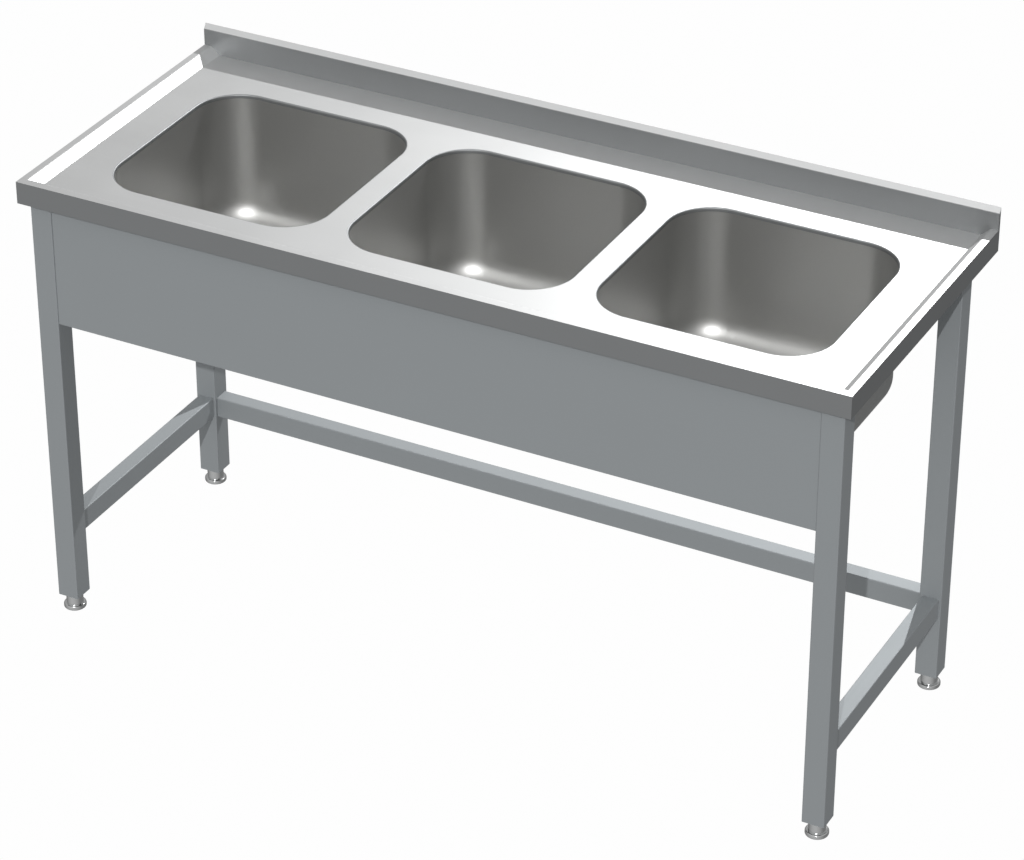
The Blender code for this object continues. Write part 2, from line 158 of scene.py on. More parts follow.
# Lights and camera
CAMERA_AZIMUTH = 27.677
CAMERA_ELEVATION = 31.166
CAMERA_DISTANCE = 6.4585
CAMERA_AIM = Vector((0.0195, -0.0026, -0.0171))
CAMERA_LENS = 134.56
BACK_LAMP = (0.15, 2.63, 2.97)
BACK_LAMP_POWER = 385.0
FRONT_LAMP = (0.31, -1.0, 0.7125)
FRONT_LAMP_STRENGTH = 1.8
FRONT_LAMP_ANGLE = math.radians(0.6)
BACK_LAMP_RADIUS = 0.02


# Pieces


def add_piece(name, bm, material, body="sink_table", nodes=()):
    """Makes a piece of a finished bmesh, which rides on a body and stands for its CAD nodes."""
    mesh = bpy.data.meshes.new(name)
    bmesh.ops.recalc_face_normals(bm, faces=bm.faces)
    bm.to_mesh(mesh)
    bm.free()
    item = bpy.data.objects.new(name, mesh)
    bpy.context.scene.collection.objects.link(item)
    mesh.materials.append(material)
    if nodes:
        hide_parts(*nodes)
    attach(item, body)
    return item


def settle(item, smooth_angle=SMOOTH_ANGLE):
    """Applies an object's modifiers, then shades it smooth up to an angle, flat faces kept flat."""
    graph = bpy.context.evaluated_depsgraph_get()
    mesh = bpy.data.meshes.new_from_object(item.evaluated_get(graph), depsgraph=graph)
    mesh.name = item.name
    item.modifiers.clear()
    item.data = mesh
    mesh.shade_smooth()
    mesh.set_sharp_from_angle(angle=math.radians(smooth_angle))
    weighted = item.modifiers.new("Flat faces", "WEIGHTED_NORMAL")
    weighted.keep_sharp = True
    weighted.weight = FLAT_FACE_WEIGHT
    return item


def thicken(item, thickness):
    """Gives a surface its sheet's thickness, all of it inwards."""
    solidify = item.modifiers.new("Sheet", "SOLIDIFY")
    solidify.thickness = thickness
    solidify.offset = -1
    solidify.use_even_offset = True


def close_ring(bm, verts):
    pairs = zip(verts, verts[1:] + verts[:1])
    return [bm.edges.get(pair) or bm.edges.new(pair) for pair in pairs]


def rounded_ring(bm, center, half_size, corner, z):
    """A closed ring in the shape of a square with round corners."""
    reach = half_size - corner
    verts = []
    for quarter in range(4):
        middle = math.radians(45 + 90 * quarter)
        corner_x = center[0] + math.copysign(reach, math.cos(middle))
        corner_y = center[1] + math.copysign(reach, math.sin(middle))
        for step in range(CORNER_STEPS + 1):
            angle = math.radians(90 * (quarter + step / CORNER_STEPS))
            x = corner_x + corner * math.cos(angle)
            y = corner_y + corner * math.sin(angle)
            verts.append(bm.verts.new((x, y, z)))
    return close_ring(bm, verts)


def skin(bm, rings):
    for upper, lower in zip(rings, rings[1:]):
        bmesh.ops.bridge_loops(bm, edges=upper + lower)


def ring_verts(bm, center, radius, z, steps=ROUND_STEPS):
    verts = []
    for step in range(steps):
        angle = 2 * math.pi * step / steps
        verts.append(bm.verts.new((center[0] + radius * math.cos(angle),
                                   center[1] + radius * math.sin(angle), z)))
    return verts


def round_ring(bm, center, radius, z, steps=ROUND_STEPS):
    return close_ring(bm, ring_verts(bm, center, radius, z, steps))


def wrap(bm, upper, lower):
    """Joins two rings that have as many points, each point to the one it lines up with."""
    for index, vert in enumerate(upper):
        bm.faces.new((upper[index - 1], vert, lower[index], lower[index - 1]))


def strip(bm, upper, lower):
    for index in range(len(upper) - 1):
        bm.faces.new((upper[index], upper[index + 1], lower[index + 1], lower[index]))


def round_edges(bm, edges, radius, steps=BEND_STEPS):
    bmesh.ops.bevel(bm, geom=edges, offset=radius, segments=steps, profile=0.5,
                    affect="EDGES", clamp_overlap=True)


# Worktop


def bowl_center(name):
    low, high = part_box(f"bowl_{name}")
    return ((low.x + high.x) / 2, (low.y + high.y) / 2)


def build_worktop(material, shaded_material):
    """The worktop's folded sheet, with the bends' radii and a rolled collar round each bowl."""
    low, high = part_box("worktop")
    top = high.z - SPLASH_HEIGHT
    pan = top - PAN_DROP
    skirt = top - SKIRT_HEIGHT
    splash_y = high.y - SPLASH_DEPTH
    stations_x = (low.x, low.x + RIM_SIDE, low.x + RIM_SIDE + SLOPE_RUN,
                  high.x - RIM_SIDE - SLOPE_RUN, high.x - RIM_SIDE, high.x)
    stations_y = (low.y, low.y + RIM_FRONT, low.y + RIM_FRONT + SLOPE_RUN, splash_y)
    bm = bmesh.new()
    grid = []
    for row, y in enumerate(stations_y):
        line = []
        for column, x in enumerate(stations_x):
            in_pan = row > 1 and column in (2, 3)
            line.append(bm.verts.new((x, y, pan if in_pan else top)))
        grid.append(line)
    for row in range(3):
        for column in range(5):
            corners = (grid[row][column], grid[row][column + 1],
                       grid[row + 1][column + 1], grid[row + 1][column])
            if (row, column) == (2, 2):
                pan_edges = close_ring(bm, list(corners))
            elif (row, column) == (1, 1):
                bm.faces.new((corners[0], corners[1], corners[2]))
                bm.faces.new((corners[0], corners[2], corners[3]))
            elif (row, column) == (1, 3):
                bm.faces.new((corners[0], corners[1], corners[3]))
                bm.faces.new((corners[1], corners[2], corners[3]))
            else:
                bm.faces.new(corners)
    fold_skirts_and_splash(bm, grid, (splash_y, high.y), (skirt, top, high.z))
    bend_worktop(bm, (splash_y, high.y), (skirt, pan, top, high.z), (low.x, high.x))
    bm.normal_update()
    # Upright faces, the skirts and the splash, take the darker copy of the steel: painted shade.
    for face in bm.faces:
        face.material_index = int(abs(face.normal.z) < UPRIGHT)
    pan_edges = [edge for edge in bm.edges if edge.is_boundary
                 and all(abs(vert.co.z - pan) < GAP for vert in edge.verts)]
    borders = []
    collars = []
    for name in BOWL_NAMES:
        rings = collar_rings(bm, bowl_center(name), pan)
        borders += rings[0]
        collars.append(rings)
    bmesh.ops.triangle_fill(bm, edges=pan_edges + borders, use_beauty=True)
    for rings in collars:
        skin(bm, rings[:2])
    flat = set(bm.faces)
    for rings in collars:
        skin(bm, rings[1:])
    # The bowl lips take the darker copy too: painted shade that dims their highlight.
    for face in bm.faces:
        if face not in flat:
            face.material_index = 1
    item = add_piece("sheet_worktop", bm, material, nodes=("worktop",))
    item.data.materials.append(shaded_material)
    thicken(item, SHEET)
    return settle(item, WORKTOP_SMOOTH_ANGLE)


def fold_skirts_and_splash(bm, grid, rear_y, levels_z):
    """Folds the front and the sides down, and the rear up, back and down again."""
    splash_y, back_y = rear_y
    skirt, top, peak = levels_z
    front = grid[0]
    rear = grid[-1]
    left = [line[0] for line in grid]
    right = [line[-1] for line in grid]

    def lowered(verts):
        return [bm.verts.new((vert.co.x, vert.co.y, skirt)) for vert in verts]

    low_front = lowered(front)
    low_left = [low_front[0]] + lowered(left[1:])
    low_right = [low_front[-1]] + lowered(right[1:])
    levels = [rear]
    for y, z in ((splash_y, top + SPLASH_FACE_HEIGHT), (back_y, peak), (back_y, skirt)):
        levels.append([bm.verts.new((vert.co.x, y, z)) for vert in rear])
    for upper, lower in ((front, low_front), (left, low_left), (right, low_right)):
        strip(bm, upper, lower)
    for upper, lower in zip(levels, levels[1:]):
        strip(bm, upper, lower)
    for end, lowest in ((0, low_left[-1]), (-1, low_right[-1])):
        bm.faces.new([lowest] + [level[end] for level in levels])


def bend_worktop(bm, rear_y, levels_z, ends_x):
    """Gives the folds their radii: tight on the splash, wider on the rim and the corners."""
    splash_y, back_y = rear_y
    skirt, pan, top, peak = levels_z

    def on(edge, test):
        return all(test(vert.co) for vert in edge.verts)

    def near(value, place):
        return abs(value - place) < GAP

    def upright(edge):
        along = edge.verts[0].co - edge.verts[1].co
        return abs(along.z) > along.length - GAP and on(edge, lambda co: near(co.y, -back_y))

    def outer(edge):
        at_side = on(edge, lambda co: near(abs(co.x), ends_x[1]))
        at_front = on(edge, lambda co: near(co.y, -back_y))
        return on(edge, lambda co: near(co.z, top)) and (at_side or at_front)

    round_edges(bm, [edge for edge in bm.edges
                     if (upright(edge) or outer(edge)) and edge.calc_face_angle(0) > FOLD_ANGLE],
                OUTER_BEND)
    splash = [edge for edge in bm.edges if on(edge, lambda co: top + GAP < co.z < peak - GAP)
              and near(edge.verts[0].co.z, edge.verts[1].co.z)]
    round_edges(bm, splash, SPLASH_BEND, TIGHT_STEPS)
    slopes = [edge for edge in bm.edges
              if not edge.is_boundary and SLOPE_ANGLE < edge.calc_face_angle(0) < FOLD_ANGLE
              and on(edge, lambda co: pan - GAP < co.z < top + GAP
                     and abs(co.x) < ends_x[1] - RIM_SIDE + GAP and co.y > -back_y + RIM_FRONT - GAP
                     and co.y < splash_y + GAP)
              and on(edge, lambda co: near(co.z, top))]
    round_edges(bm, slopes, SLOPE_BEND, TIGHT_STEPS)


def collar_rings(bm, center, pan):
    """The rolled lip of a bowl's opening, in a narrow border that keeps the pan's shading flat."""
    half = BOWL_SIZE / 2
    border = LIP_RADIUS + PAN_BORDER
    rings = [rounded_ring(bm, center, half + border, BOWL_CORNER + border, pan)]
    for step in range(LIP_STEPS + 1):
        angle = math.radians(90 * step / LIP_STEPS)
        out = LIP_RADIUS * (1 - math.sin(angle))
        z = pan - LIP_RADIUS * (1 - math.cos(angle))
        rings.append(rounded_ring(bm, center, half + out, BOWL_CORNER + out, z))
    rings.append(rounded_ring(bm, center, half, BOWL_CORNER, pan - COLLAR_BOTTOM))
    return rings


# Bowls


def build_bowl(name, material):
    """A pressed bowl: flange, straight wall, round bottom edge, and a floor with its drain hole."""
    center = bowl_center(name)
    low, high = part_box(f"bowl_{name}")
    floor = low.z + BOWL_SHEET
    half = BOWL_SIZE / 2
    bm = bmesh.new()
    rings = [rounded_ring(bm, center, half + BOWL_FLANGE, BOWL_CORNER + BOWL_FLANGE, high.z)]
    rings.append(rounded_ring(bm, center, half, BOWL_CORNER, high.z))
    for step in range(FILLET_STEPS + 1):
        angle = math.radians(90 * step / FILLET_STEPS)
        inset = BOWL_FILLET * (1 - math.cos(angle))
        z = floor + BOWL_FILLET * (1 - math.sin(angle))
        rings.append(rounded_ring(bm, center, half - inset, BOWL_CORNER - inset, z))
    skin(bm, rings)
    hole = round_ring(bm, center, DRAIN_HOLE_RADIUS, floor)
    bmesh.ops.triangle_fill(bm, edges=rings[-1] + hole, use_beauty=True)
    item = add_piece(f"pressed_bowl_{name}", bm, material, nodes=(f"bowl_{name}",))
    thicken(item, BOWL_SHEET)
    return settle(item)


# Frame


def box_mesh(low, high):
    bm = bmesh.new()
    bmesh.ops.create_cube(bm, size=1.0)
    bmesh.ops.scale(bm, vec=high - low, verts=bm.verts)
    bmesh.ops.translate(bm, vec=(low + high) / 2, verts=bm.verts)
    return bm


def edges_along(bm, axis):
    """The straight edges that run along one axis, 0 for X, 1 for Y and 2 for Z."""
    found = []
    for edge in bm.edges:
        run = edge.verts[0].co - edge.verts[1].co
        if abs(abs(run[axis]) - run.length) < GAP:
            found.append(edge)
    return found


def open_faces(bm, is_open):
    bmesh.ops.delete(bm, geom=[face for face in bm.faces if is_open(face.normal)], context="FACES")


def build_tube(node, axis, material):
    """A rectangular tube along one axis, open at both ends, with its drawn corner radius."""
    low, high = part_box(node)
    bm = box_mesh(low, high)
    open_faces(bm, lambda normal: abs(normal[axis]) > FACING)
    round_edges(bm, edges_along(bm, axis), TUBE_RADIUS)
    item = add_piece(f"tube_{node}", bm, material, nodes=(node,))
    thicken(item, TUBE_WALL)
    return settle(item)


def build_channel(node, axis, back, material, thickness):
    """A folded channel along one axis, open at its ends and towards its back."""
    low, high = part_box(node)
    bm = box_mesh(low, high)
    open_faces(bm, lambda normal: abs(normal[axis]) > FACING or normal.dot(Vector(back)) > FACING)
    folds = [edge for edge in edges_along(bm, axis) if not edge.is_boundary]
    round_edges(bm, folds, FOLD_RADIUS)
    item = add_piece(f"sheet_{node}", bm, material, nodes=(node,))
    thicken(item, thickness)
    return settle(item)


# Feet


def lathe(bm, center, profile):
    """Turns a profile of (radius, height) points round a vertical axis; ends on it close it."""
    x, y, z = center
    rings = [ring_verts(bm, (x, y), radius, z + height) for radius, height in profile if radius > 0]
    for upper, lower in zip(rings, rings[1:]):
        wrap(bm, upper, lower)
    if len(rings) < len(profile):
        bm.faces.new(rings[0])
        bm.faces.new(rings[-1])
    else:
        wrap(bm, rings[-1], rings[0])


def arc(center_r, center_z, radius, start, end):
    """Points on an arc of a profile, from one angle to another in degrees."""
    points = []
    for step in range(ARC_STEPS + 1):
        angle = math.radians(start + (end - start) * step / ARC_STEPS)
        points.append((center_r + radius * math.cos(angle), center_z + radius * math.sin(angle)))
    return points


def build_foot(corner, material):
    """A turned foot: threaded stud, plain neck and a round-edged disc on the floor."""
    low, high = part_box(f"foot_{corner}")
    center = ((low.x + high.x) / 2, (low.y + high.y) / 2, low.z)
    disc = (high.x - low.x) / 2
    stud_top = high.z - low.z
    neck_top = stud_top - STUD_LENGTH
    profile = [(0, stud_top), (STUD_RADIUS - THREAD_DEPTH, stud_top)]
    turns = round(STUD_LENGTH / THREAD_PITCH) - 1
    for turn in range(turns):
        crest = stud_top - THREAD_PITCH * (turn + 0.5)
        profile.append((STUD_RADIUS, crest))
        profile.append((STUD_RADIUS - THREAD_DEPTH, crest - THREAD_PITCH / 2))
    profile.append((STUD_RADIUS - THREAD_DEPTH, neck_top))
    profile += arc(FOOT_NECK_RADIUS - NECK_EDGE, neck_top - NECK_EDGE, NECK_EDGE, 90, 0)
    profile.append((FOOT_NECK_RADIUS, FOOT_DISC_HEIGHT))
    profile += arc(disc - FOOT_EDGE, FOOT_DISC_HEIGHT - FOOT_EDGE, FOOT_EDGE, 90, 0)
    profile += arc(disc - FOOT_EDGE, FOOT_EDGE, FOOT_EDGE, 0, -90)
    profile.append((0, 0))
    bm = bmesh.new()
    lathe(bm, center, profile)
    item = add_piece(f"turned_foot_{corner}", bm, material, f"foot_{corner}",
                     (f"foot_{corner}",))
    return settle(item, FOOT_SMOOTH_ANGLE)


def bore_through(bm, center, radius, levels):
    """Closes the open top and bottom of a block, leaving a round bore between them."""
    bores = []
    for z in levels:
        outline = [edge for edge in bm.edges if edge.is_boundary
                   and all(abs(vert.co.z - z) < GAP for vert in edge.verts)]
        bores.append(ring_verts(bm, center, radius, z))
        bmesh.ops.triangle_fill(bm, edges=outline + close_ring(bm, bores[-1]), use_beauty=True)
    wrap(bm, *bores)


def build_insert(corner, material):
    """The plastic block in the end of a leg, with the bore for the foot's stud."""
    low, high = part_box(f"foot_insert_{corner}")
    bm = box_mesh(low, high)
    open_faces(bm, lambda normal: abs(normal.z) > FACING)
    round_edges(bm, edges_along(bm, 2), INSERT_EDGE)
    bore_through(bm, (low + high) / 2, STUD_RADIUS + GAP, (low.z, high.z))
    item = add_piece(f"insert_{corner}", bm, material,
                     nodes=(f"foot_insert_{corner}",))
    return settle(item)


# Drains and baskets


def ring_section(inner, outer, top, bottom, edge):
    """A ring's section with its outer edges rounded."""
    section = [(inner, top)] + arc(outer - edge, top - edge, edge, 90, 0)
    return section + arc(outer - edge, bottom + edge, edge, 0, -90) + [(inner, bottom)]


def drain_section():
    """The cup's section: flange on the bowl's floor, cup below it, threaded outlet under that."""
    cup_inner = DRAIN_CUP_RADIUS - DRAIN_WALL
    cone_end = -DRAIN_CUP_DEPTH - CUP_CONE_DROP
    outlet_inner = OUTLET_RADIUS - DRAIN_WALL
    flange_top = GAP + DRAIN_FLANGE_HEIGHT
    shoulder = DRAIN_CUP_DEPTH - CUP_SHOULDER
    section = arc(DRAIN_FLANGE_RADIUS - DRAIN_FLANGE_HEIGHT, GAP, DRAIN_FLANGE_HEIGHT, 90, 0)
    section += [(DRAIN_CUP_RADIUS, GAP), (DRAIN_CUP_RADIUS, -shoulder),
                (DRAIN_CUP_RADIUS - CUP_TAPER, -DRAIN_CUP_DEPTH), (OUTLET_RADIUS, cone_end)]
    turns = round((OUTLET_DEPTH + cone_end) / THREAD_PITCH)
    for turn in range(turns):
        root = cone_end - THREAD_PITCH * (turn + 0.5)
        section += [(OUTLET_RADIUS - THREAD_DEPTH, root), (OUTLET_RADIUS, root - THREAD_PITCH / 2)]
    section += [(OUTLET_RADIUS, -OUTLET_DEPTH), (outlet_inner, -OUTLET_DEPTH),
                (outlet_inner, cone_end + DRAIN_WALL),
                (cup_inner - CUP_TAPER, -DRAIN_CUP_DEPTH + DRAIN_WALL),
                (cup_inner, -shoulder + DRAIN_WALL / 2), (cup_inner, GAP),
                (cup_inner + CHAMFER_RUN, flange_top)]
    return section


def basket_section():
    """The lift-out basket's section: rim on the cup's chamfer, perforated dish and a knob."""
    outer = DRAIN_CUP_RADIUS - DRAIN_WALL - BASKET_CLEARANCE
    inner = outer - BASKET_WALL
    floor_radius = outer - BASKET_FLOOR_INSET
    knob_foot = -BASKET_DEPTH + BASKET_WALL
    knob_top = knob_foot + KNOB_HEIGHT
    section = [(0, knob_top)]
    section += arc(KNOB_RADIUS - KNOB_EDGE, knob_top - KNOB_EDGE, KNOB_EDGE, 90, 0)
    return section + [
        (KNOB_WAIST_RADIUS, knob_foot + KNOB_WAIST_HEIGHT), (KNOB_FOOT_RADIUS, knob_foot),
        (floor_radius, knob_foot), (inner - BASKET_DISH_INSET, -BASKET_DISH_DEPTH), (inner, 0),
        (BASKET_RIM_RADIUS - BASKET_WALL, BASKET_RIM_Z), (BASKET_RIM_RADIUS, BASKET_RIM_Z),
        (BASKET_RIM_RADIUS, BASKET_RIM_Z - BASKET_WALL), (outer, -BASKET_WALL / 2),
        (outer - BASKET_DISH_INSET, -BASKET_DISH_DEPTH - BASKET_WALL),
        (floor_radius, -BASKET_DEPTH), (0, -BASKET_DEPTH),
    ]


def build_turned(node, section, center, material, body="sink_table"):
    bm = bmesh.new()
    lathe(bm, center, section)
    return add_piece(f"turned_{node}", bm, material, body, (node,))


def build_nut(node, sides, bore_radius, material):
    """A flat-sided nut with a round bore and broken edges."""
    low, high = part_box(node)
    center = ((low.x + high.x) / 2, (low.y + high.y) / 2)
    bm = bmesh.new()
    outlines = [round_ring(bm, center, (high.x - low.x) / 2, z, sides) for z in (high.z, low.z)]
    skin(bm, outlines)
    round_edges(bm, edges_along(bm, 2), NUT_EDGE, TIGHT_STEPS)
    bore_through(bm, center, bore_radius, (high.z, low.z))
    return settle(add_piece(f"moulded_{node}", bm, material, nodes=(node,)))


def pierce_basket(item, center):
    """Cuts the ring of round holes in a basket's floor."""
    bm = bmesh.new()
    for step in range(BASKET_HOLES):
        angle = 2 * math.pi * step / BASKET_HOLES
        place = (center[0] + BASKET_HOLE_RING * math.cos(angle),
                 center[1] + BASKET_HOLE_RING * math.sin(angle))
        ends = [ring_verts(bm, place, BASKET_HOLE_RADIUS, center[2] - BASKET_DEPTH + rise,
                           BASKET_HOLE_STEPS) for rise in (-BASKET_DEPTH / 4, BASKET_DEPTH / 4)]
        wrap(bm, *ends)
        for ring in ends:
            bm.faces.new(ring)
    bmesh.ops.recalc_face_normals(bm, faces=bm.faces)
    mesh = bpy.data.meshes.new("basket_punch")
    bm.to_mesh(mesh)
    bm.free()
    punch = bpy.data.objects.new("basket_punch", mesh)
    bpy.context.scene.collection.objects.link(punch)
    cut = item.modifiers.new("Holes", "BOOLEAN")
    cut.operation = "DIFFERENCE"
    cut.object = punch
    settle(item)
    bpy.data.objects.remove(punch)


def build_drain(name, steel_material, plastic, rubber):
    x, y = bowl_center(name)
    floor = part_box(f"bowl_{name}")[0].z + BOWL_SHEET
    seat = (x, y, floor)
    settle(build_turned(f"drain_body_{name}", drain_section(), seat, steel_material))
    for part, inner, material, slot in (
            ("gasket", DRAIN_CUP_RADIUS + GAP, rubber, "black_rubber"),
            ("tail", TAIL_BORE_RADIUS, plastic, "grey_plastic")):
        node = f"drain_{part}_{name}"
        low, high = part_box(node)
        section = ring_section(inner, (high.x - low.x) / 2, high.z - floor, low.z - floor,
                               GASKET_EDGE)
        settle(build_turned(node, section, seat, material))
    build_nut(f"drain_lock_nut_{name}", LOCK_NUT_SIDES, DRAIN_CUP_RADIUS + 2 * GAP, plastic)
    build_nut(f"drain_coupling_nut_{name}", COUPLING_SIDES, OUTLET_RADIUS + GAP, plastic)
    basket = build_turned(f"basket_{name}", basket_section(), seat, steel_material,
                          f"basket_{name}")
    pierce_basket(basket, seat)


# Materials: noise scales are in cycles per metre, and reliefs in metres

STREAK_DETAIL = 4.0
STREAK_ROUGHNESS = 0.65
STEEL_CLOUD_SCALE = 7.0
CLOUD_SHARE = 0.5
STEEL_NOISE_RANGE = (0.25, 0.75)
STEEL_RELIEF = (0.12, 0.00006)
MATT_SCALE = 900.0
MATT_CLOUD_SCALE = 40.0
MATT_MOTTLE = 0.15
MATT_SPREAD = 0.06
MATT_RELIEF = (0.25, 0.0001)


def new_material(name):
    """A material, its node tree, its shader and the object's own coordinates."""
    material = bpy.data.materials.new(name)
    material.use_nodes = True
    tree = material.node_tree
    place = tree.nodes.new("ShaderNodeTexCoord").outputs["Object"]
    return material, tree, tree.nodes["Principled BSDF"], place


def noise(tree, place, scale, detail, roughness=0.5):
    texture = tree.nodes.new("ShaderNodeTexNoise")
    texture.inputs["Scale"].default_value = scale
    texture.inputs["Detail"].default_value = detail
    texture.inputs["Roughness"].default_value = roughness
    tree.links.new(place, texture.inputs["Vector"])
    return texture.outputs["Fac"]


def vary_color(tree, shader, color, spread, factor):
    """Lets the colour wander either way by a share of itself."""
    tone = tree.nodes.new("ShaderNodeMix")
    tone.data_type = "RGBA"
    tone.inputs["A"].default_value = (*[part * (1 - spread) for part in color], 1.0)
    tone.inputs["B"].default_value = (*[part * (1 + spread) for part in color], 1.0)
    tree.links.new(factor, tone.inputs["Factor"])
    tree.links.new(tone.outputs["Result"], shader.inputs["Base Color"])


def vary_roughness(tree, shader, roughness, spread, factor, noise_range=(0.0, 1.0)):
    gloss = tree.nodes.new("ShaderNodeMapRange")
    gloss.inputs["From Min"].default_value = noise_range[0]
    gloss.inputs["From Max"].default_value = noise_range[1]
    gloss.inputs["To Min"].default_value = roughness - spread
    gloss.inputs["To Max"].default_value = roughness + spread
    tree.links.new(factor, gloss.inputs["Value"])
    tree.links.new(gloss.outputs["Result"], shader.inputs["Roughness"])


def add_relief(tree, shader, size, height):
    relief = tree.nodes.new("ShaderNodeBump")
    relief.inputs["Strength"].default_value, relief.inputs["Distance"].default_value = size
    tree.links.new(height, relief.inputs["Height"])
    tree.links.new(relief.outputs["Normal"], shader.inputs["Normal"])


def steel(name, color, roughness, grain, mottle=0.03, streak=0.03):
    """Stainless steel whose fine streaks run the way that grain is small."""
    material, tree, shader, place = new_material(name)
    shader.inputs["Metallic"].default_value = 1.0
    stretch = tree.nodes.new("ShaderNodeMapping")
    stretch.inputs["Scale"].default_value = grain
    tree.links.new(place, stretch.inputs["Vector"])
    fine = noise(tree, stretch.outputs["Vector"], 1.0, STREAK_DETAIL, STREAK_ROUGHNESS)
    cloud = noise(tree, place, STEEL_CLOUD_SCALE, 3.0)
    blend = tree.nodes.new("ShaderNodeMix")
    blend.data_type = "FLOAT"
    blend.inputs["Factor"].default_value = CLOUD_SHARE
    tree.links.new(fine, blend.inputs["A"])
    tree.links.new(cloud, blend.inputs["B"])
    vary_color(tree, shader, color, mottle, blend.outputs["Result"])
    vary_roughness(tree, shader, roughness, streak, blend.outputs["Result"], STEEL_NOISE_RANGE)
    add_relief(tree, shader, STEEL_RELIEF, fine)
    return material


def moulding(name, color, roughness):
    """Moulded plastic or rubber with a fine matt texture and faint unevenness."""
    material, tree, shader, place = new_material(name)
    fine = noise(tree, place, MATT_SCALE, 3.0)
    cloud = noise(tree, place, MATT_CLOUD_SCALE, 2.0)
    vary_color(tree, shader, color, MATT_MOTTLE, cloud)
    vary_roughness(tree, shader, roughness, MATT_SPREAD, fine)
    add_relief(tree, shader, MATT_RELIEF, fine)
    return material


ALONG_X = (5.0, 700.0, 700.0)
ALONG_Y = (700.0, 5.0, 700.0)
ALONG_Z = (700.0, 700.0, 5.0)
EVEN = (260.0, 260.0, 260.0)
FRAME_COLOR = (0.432, 0.455, 0.468)
WORKTOP_COLOR = (0.650, 0.655, 0.655)
# A darker copy of the worktop steel for its upright faces and bowl lips: painted shade on the same
# sheet, not a different finish.
UPRIGHT_SHADE_COLOR = (0.322, 0.331, 0.336)
worktop_steel = steel("worktop_steel_brushed", WORKTOP_COLOR, 0.58, ALONG_X)
shaded_upright_steel = steel("worktop_steel_painted_shade", UPRIGHT_SHADE_COLOR, 0.58, ALONG_X)
bowl_steel = steel("bowl_steel_satin", (0.505, 0.505, 0.496), 0.45, EVEN)
frame_steel_x = steel("frame_steel_along_x", FRAME_COLOR, 0.78, ALONG_X)
frame_steel_y = steel("frame_steel_along_y", FRAME_COLOR, 0.78, ALONG_Y)
frame_steel_z = steel("frame_steel_along_z", FRAME_COLOR, 0.78, ALONG_Z)
polished_steel = steel("polished_steel_turned", (0.70, 0.71, 0.71), 0.14, EVEN, 0.01, 0.02)
grey_plastic = moulding("grey_plastic_moulded", (0.115, 0.117, 0.120), 0.46)
black_rubber = moulding("black_rubber_moulded", (0.022, 0.022, 0.023), 0.68)

build_worktop(worktop_steel, shaded_upright_steel)
bowls = [build_bowl(bowl, bowl_steel) for bowl in BOWL_NAMES]
for bowl in BOWL_NAMES:
    build_drain(bowl, polished_steel, grey_plastic, black_rubber)
for side in ("left", "right"):
    build_tube(f"stretcher_{side}", 1, frame_steel_y)
    build_tube(f"rail_{side}", 1, frame_steel_y)
    build_channel(f"stiffener_{side}", 1, (0, 0, -1), frame_steel_y, TUBE_WALL)
    for end in ("front", "rear"):
        build_tube(f"leg_{end}_{side}", 2, frame_steel_z)
        build_insert(f"{end}_{side}", grey_plastic)
        build_foot(f"{end}_{side}", polished_steel)
build_tube("stretcher_rear", 0, frame_steel_x)
build_tube("rail_rear", 0, frame_steel_x)
build_channel("apron_front", 0, (0, 1, 0), frame_steel_x, SHEET)


# Stage

WHITE = 0.99
FLOOR_SIZE = 30.0
SENSOR_WIDTH = 36
CLIP_END = 100


def build_floor():
    """A plain pale floor, lit evenly and clear from below, that casts no glow on the steel."""
    bm = bmesh.new()
    bmesh.ops.create_grid(bm, x_segments=1, y_segments=1, size=FLOOR_SIZE)
    mesh = bpy.data.meshes.new("floor")
    bm.to_mesh(mesh)
    bm.free()
    floor = bpy.data.objects.new("floor", mesh)
    bpy.context.scene.collection.objects.link(floor)
    material = bpy.data.materials.new("floor_pale")
    material.use_nodes = True
    nodes = material.node_tree.nodes
    nodes.clear()
    glow = nodes.new("ShaderNodeEmission")
    glow.inputs["Color"].default_value = (1.0, 1.0, 1.0, 1.0)
    glow.inputs["Strength"].default_value = WHITE
    output = nodes.new("ShaderNodeOutputMaterial")
    side = nodes.new("ShaderNodeNewGeometry")
    clear = nodes.new("ShaderNodeBsdfTransparent")
    mix = nodes.new("ShaderNodeMixShader")
    link = material.node_tree.links.new
    link(side.outputs["Backfacing"], mix.inputs["Fac"])
    link(glow.outputs["Emission"], mix.inputs[1])
    link(clear.outputs["BSDF"], mix.inputs[2])
    link(mix.outputs["Shader"], output.inputs["Surface"])
    mesh.materials.append(material)
    floor.visible_glossy = False
    floor.visible_diffuse = False
    floor.visible_shadow = False


# Soft light from the surroundings: the direction and strength of each wide glow
GLOWS = (
    ((0.0, 0.0, 1.0), 0.36),
    ((0.0, -1.0, -0.3), 0.32),
)
AMBIENT = 0.225


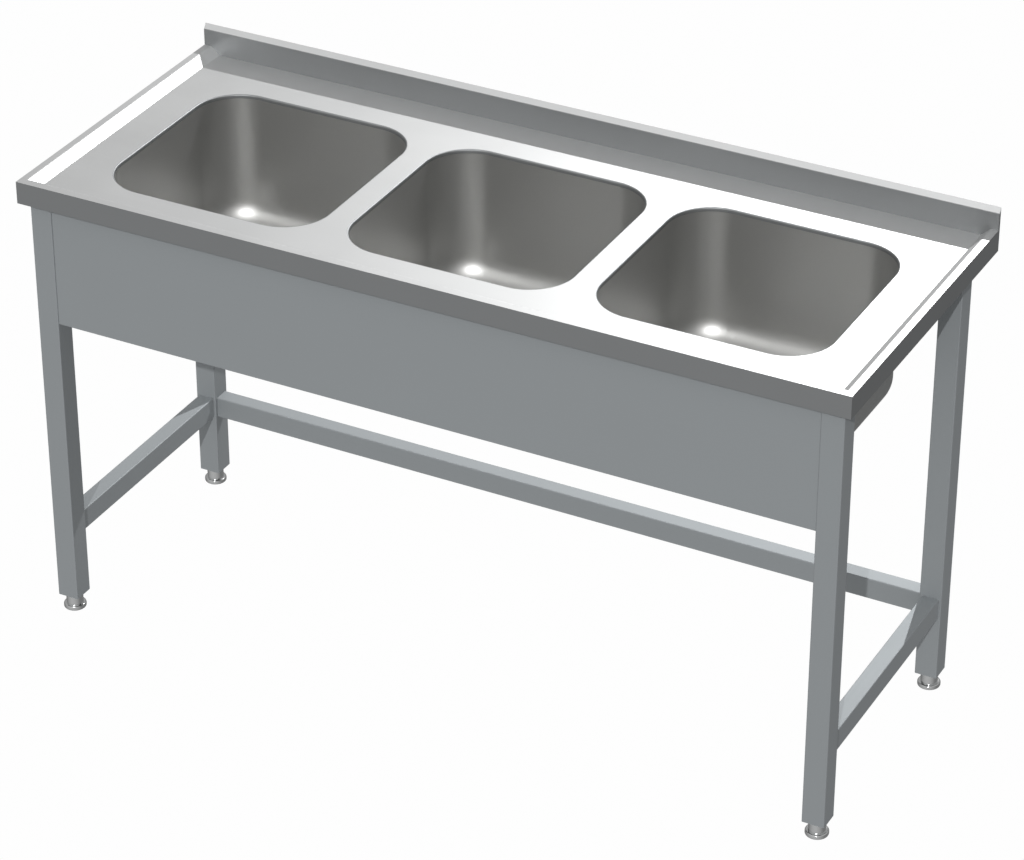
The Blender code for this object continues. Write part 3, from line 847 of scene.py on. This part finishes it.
def build_studio():
    """White where the camera looks past the sink, and soft glows for the steel to reflect."""
    world = bpy.data.worlds.new("studio")
    bpy.context.scene.world = world
    world.use_nodes = True
    tree = world.node_tree
    nodes = tree.nodes
    link = tree.links.new
    nodes.clear()
    place = nodes.new("ShaderNodeTexCoord")
    total = None
    for direction, strength in GLOWS:
        dot = nodes.new("ShaderNodeVectorMath")
        dot.operation = "DOT_PRODUCT"
        dot.inputs[1].default_value = Vector(direction).normalized()
        link(place.outputs["Generated"], dot.inputs[0])
        front = nodes.new("ShaderNodeMath")
        front.operation = "MAXIMUM"
        front.inputs[1].default_value = 0.0
        link(dot.outputs["Value"], front.inputs[0])
        add = nodes.new("ShaderNodeMath")
        add.operation = "MULTIPLY_ADD"
        add.inputs[1].default_value = strength
        add.inputs[2].default_value = AMBIENT
        link(front.outputs["Value"], add.inputs[0])
        if total:
            link(total, add.inputs[2])
        total = add.outputs["Value"]
    soft = nodes.new("ShaderNodeBackground")
    link(total, soft.inputs["Strength"])
    plain = nodes.new("ShaderNodeBackground")
    plain.inputs["Strength"].default_value = WHITE
    plain.inputs["Color"].default_value = (1.0, 1.0, 1.0, 1.0)
    soft.inputs["Color"].default_value = (1.0, 1.0, 1.0, 1.0)
    ray = nodes.new("ShaderNodeLightPath")
    mix = nodes.new("ShaderNodeMixShader")
    output = nodes.new("ShaderNodeOutputWorld")
    link(ray.outputs["Is Camera Ray"], mix.inputs["Fac"])
    link(soft.outputs["Background"], mix.inputs[1])
    link(plain.outputs["Background"], mix.inputs[2])
    link(mix.outputs["Shader"], output.inputs["Surface"])


def link_lamp(lamp, bowls, state):
    """Lights the bowls only, or everything but the bowls."""
    group = bpy.data.collections.new(f"{lamp.name}_{state.lower()}")
    for bowl in bowls:
        group.objects.link(bowl)
    lamp.light_linking.receiver_collection = group
    for entry in group.collection_objects:
        entry.light_linking.link_state = state


def add_lamp(name, kind, power, place):
    light = bpy.data.lights.new(name, kind)
    light.energy = power
    item = bpy.data.objects.new(name, light)
    item.location = place
    item.rotation_euler = Vector(place).to_track_quat("Z", "Y").to_euler()
    bpy.context.scene.collection.objects.link(item)
    return item


def build_lamps(bowls):
    """A distant lamp in front, and a small one high behind that only bounces inside the bowls."""
    front = add_lamp("front_lamp", "SUN", FRONT_LAMP_STRENGTH, FRONT_LAMP)
    front.data.angle = FRONT_LAMP_ANGLE
    for name, state in (("back_lamp", "EXCLUDE"), ("bowl_lamp", "INCLUDE")):
        lamp = add_lamp(name, "POINT", BACK_LAMP_POWER, BACK_LAMP)
        lamp.data.shadow_soft_size = BACK_LAMP_RADIUS
        link_lamp(lamp, bowls, state)
        if state == "EXCLUDE":
            lamp.data.cycles.max_bounces = 0


def build_camera():
    lens = bpy.data.cameras.new("camera")
    lens.sensor_width = SENSOR_WIDTH
    lens.lens = CAMERA_LENS
    lens.clip_end = CLIP_END
    camera = bpy.data.objects.new("camera", lens)
    bpy.context.scene.collection.objects.link(camera)
    azimuth = math.radians(CAMERA_AZIMUTH)
    elevation = math.radians(CAMERA_ELEVATION)
    away = Vector((math.sin(azimuth) * math.cos(elevation),
                   -math.cos(azimuth) * math.cos(elevation), math.sin(elevation)))
    aim = (CAD_BOX[0] + CAD_BOX[1]) / 2 + CAMERA_AIM
    camera.location = aim + away * CAMERA_DISTANCE
    camera.rotation_euler = (math.pi / 2 - elevation, 0, azimuth)
    bpy.context.scene.camera = camera


build_floor()
build_studio()
build_lamps(bowls)
build_camera()
bpy.context.scene.view_settings.view_transform = "Standard"
